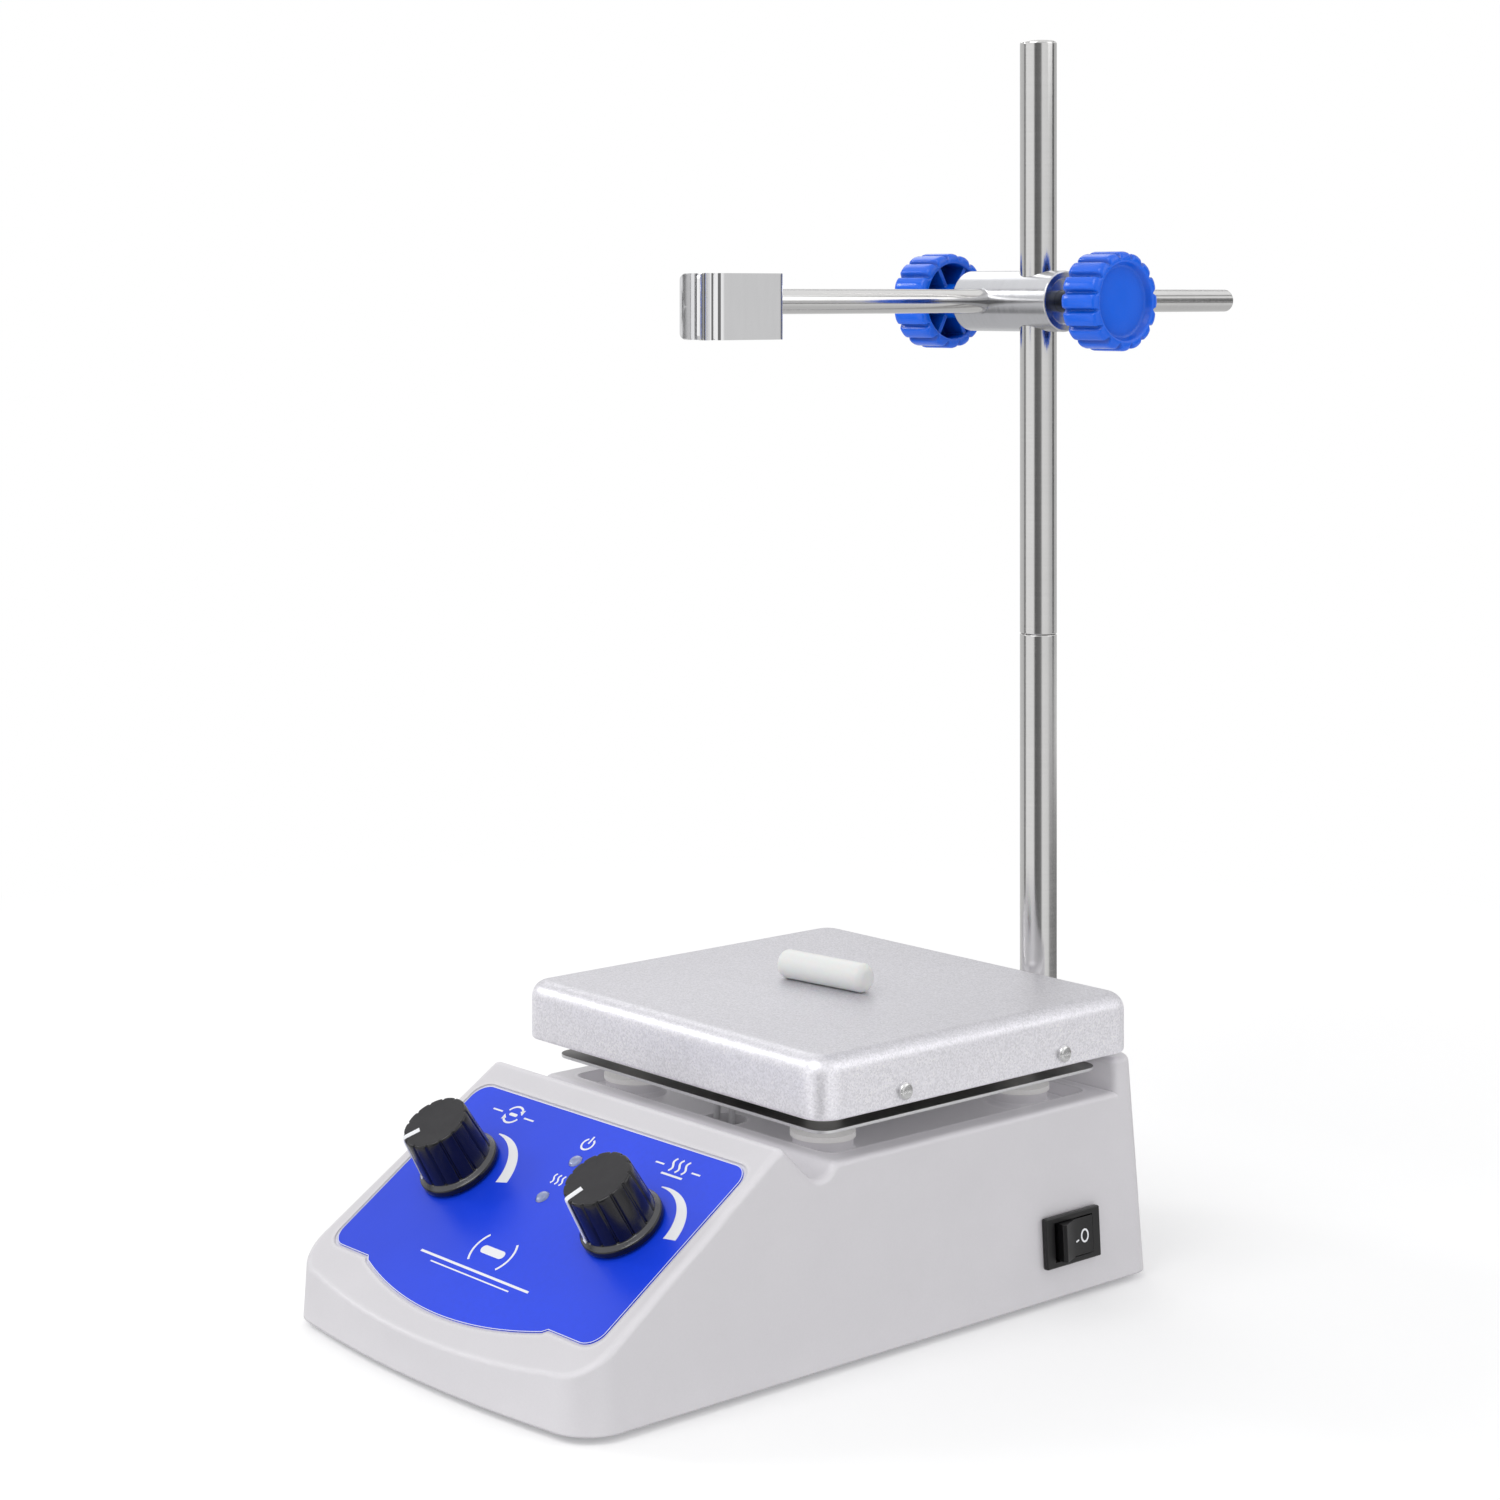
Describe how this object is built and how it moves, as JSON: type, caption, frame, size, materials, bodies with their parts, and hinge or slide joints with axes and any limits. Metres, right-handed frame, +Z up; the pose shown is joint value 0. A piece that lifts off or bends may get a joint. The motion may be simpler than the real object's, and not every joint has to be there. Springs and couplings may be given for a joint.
{
  "type": "magnetic stirrer",
  "caption": "Benchtop heating magnetic stirrer with sloped control panel, square hot plate, screw-in support rod, boss head, cross rod and spring probe clip.",
  "frame": {"origin": "on the bench plane, on the stirring axis under the centre of the hot plate", "axes": "+Z up along the stirring axis, -Y towards the control panel, +X towards the switch side"},
  "size_m": [0.1267, 0.3129, 0.344],
  "materials": {
    "housing_plastic": "satin moulded light grey",
    "base_metal": "matt grey powder coat",
    "label_film": "printed ultramarine polyester film",
    "led_lens": "diffused lens, unlit",
    "knob_black": "black, satin",
    "grip_blue": "moulded royal blue",
    "switch_black": "black nylon",
    "steel": "polished stainless",
    "zinc_screw": "bright zinc plate",
    "boss_satin": "satin",
    "spring_steel": "mirror-polished strip",
    "plate_coat": "silver sparkle powder coat",
    "reflector_steel": "bright sheet",
    "ceramic": "unglazed ceramic",
    "heater_mica": "mica laminate",
    "insulation": "glass fibre felt",
    "brass_parts": "bright brass",
    "pcb_green": "solder mask",
    "component_dark": "moulded epoxy",
    "heatsink_alu": "extruded",
    "rubber_black": "moulded foot",
    "wire_sheath": "silicone sheath",
    "ptfe": "white PTFE",
    "magnet": "nickel-plated magnet",
    "motor_steel": "zinc-plated steel"
  },
  "bodies": {
    "stirrer_base": {"housing_shell": "housing_plastic", "base_plate": "base_metal", "base_screws": "zinc_screw", "rubber_feet": "rubber_black", "panel_overlay": "label_film", "power_led": "led_lens", "heat_led": "led_lens", "speed_pot_body": "component_dark", "heat_pot_body": "component_dark", "pot_nuts": "zinc_screw", "switch_bezel": "switch_black", "power_inlet": "switch_black", "inlet_pins": "brass_parts", "hot_plate": "plate_coat", "plate_side_screws": "zinc_screw", "heating_element": "heater_mica", "insulation_pad": "insulation", "heater_clamp_plate": "motor_steel", "ceramic_standoffs": "ceramic", "reflector_plate": "reflector_steel", "pillar_washers": "ceramic", "reflector_spacers": "steel", "plate_mount_screws": "zinc_screw", "overheat_thermostat": "motor_steel", "motor_body": "motor_steel", "motor_bracket": "motor_steel", "motor_screws": "zinc_screw", "control_board": "pcb_green", "board_spacers": "brass_parts", "board_screws": "zinc_screw", "triac_heatsink": "heatsink_alu", "smoothing_capacitor": "component_dark", "terminal_block": "component_dark", "board_fuse": "component_dark", "heater_relay": "component_dark", "mains_wires": "wire_sheath", "heater_wires": "wire_sheath", "rod_socket": "brass_parts"},
    "magnet_rotor": {"motor_shaft": "steel", "magnet_yoke": "motor_steel", "drive_magnets": "magnet"},
    "stirring_bar": {"stir_bar": "ptfe", "stir_bar_magnet": "magnet"},
    "speed_control": {"stirring_knob": "knob_black", "stirring_spindle": "steel"},
    "heat_control": {"heating_knob": "knob_black", "heating_spindle": "steel"},
    "power_rocker": {"switch_rocker": "switch_black"},
    "support_rod": {"lower_rod": "steel", "rod_joint_stud": "steel", "upper_rod": "steel"},
    "clamp_head": {"boss_head": "boss_satin"},
    "rod_clamp_screw": {"rod_clamp_stud": "zinc_screw"},
    "rod_clamp_grip": {"rod_clamp_knob": "grip_blue"},
    "arm_clamp_screw": {"arm_clamp_stud": "zinc_screw"},
    "arm_clamp_grip": {"arm_clamp_knob": "grip_blue"},
    "cross_arm": {"cross_rod": "steel", "clip_screw": "zinc_screw"},
    "clip": {"probe_clip": "spring_steel"}
  },
  "joints": [
    {"name": "motor_spin", "type": "hinge", "parent": "stirrer_base", "child": "magnet_rotor", "pos_m": [0, 0, 0.045], "axis": [0, 0, 1], "continuous": true},
    {"name": "stir_bar_spin", "type": "hinge", "parent": "stirrer_base", "child": "stirring_bar", "pos_m": [0, 0, 0.0832], "axis": [0, 0, 1], "continuous": true},
    {"name": "speed_knob_turn", "type": "hinge", "parent": "stirrer_base", "child": "speed_control", "pos_m": [-0.034, -0.10138, 0.03924], "axis": [0, 0.5441, -0.8391], "range_deg": [0, 300]},
    {"name": "heat_knob_turn", "type": "hinge", "parent": "stirrer_base", "child": "heat_control", "pos_m": [0.0324, -0.10138, 0.03924], "axis": [0, 0.5441, -0.8391], "range_deg": [0, 300]},
    {"name": "power_rocker_tilt", "type": "hinge", "parent": "stirrer_base", "child": "power_rocker", "pos_m": [0.0607, 0.0328, 0.01724], "axis": [0.0593, 0, -0.9982], "range_deg": [0, 22]},
    {"name": "rod_swivel", "type": "hinge", "parent": "stirrer_base", "child": "support_rod", "pos_m": [0.0187, 0.067, 0.0613], "axis": [0, 0, 1], "range_deg": [-90, 90]},
    {"name": "clamp_height", "type": "slide", "parent": "support_rod", "child": "clamp_head", "axis": [0, 0, 1], "range_m": [-0.165, 0.058]},
    {"name": "rod_clamp_feed", "type": "slide", "parent": "clamp_head", "child": "rod_clamp_screw", "axis": [1, 0, 0], "range_m": [0, 0.0025]},
    {"name": "rod_clamp_turn", "type": "hinge", "parent": "rod_clamp_screw", "child": "rod_clamp_grip", "pos_m": [0.045, 0.067, 0.2693], "axis": [1, 0, 0], "range_deg": [0, 720]},
    {"name": "arm_clamp_feed", "type": "slide", "parent": "clamp_head", "child": "arm_clamp_screw", "axis": [-1, 0, 0], "range_m": [0, 0.0025]},
    {"name": "arm_clamp_turn", "type": "hinge", "parent": "arm_clamp_screw", "child": "arm_clamp_grip", "pos_m": [-0.02, 0.067, 0.2693], "axis": [-1, 0, 0], "range_deg": [0, 720]},
    {"name": "arm_slide", "type": "slide", "parent": "clamp_head", "child": "cross_arm", "axis": [0, 1, 0], "range_m": [-0.085, 0.078]},
    {"name": "clip_turn", "type": "hinge", "parent": "cross_arm", "child": "clip", "pos_m": [0.004, -0.03, 0.2693], "axis": [0, 1, 0], "range_deg": [-90, 90]}
  ],
  "couplings": [
    {"joint": "stir_bar_spin", "follows": "motor_spin", "ratio": 1},
    {"joint": "rod_clamp_turn", "follows": "rod_clamp_feed", "rad_per_m": 5026.5},
    {"joint": "arm_clamp_turn", "follows": "arm_clamp_feed", "rad_per_m": 5026.5}
  ]
}
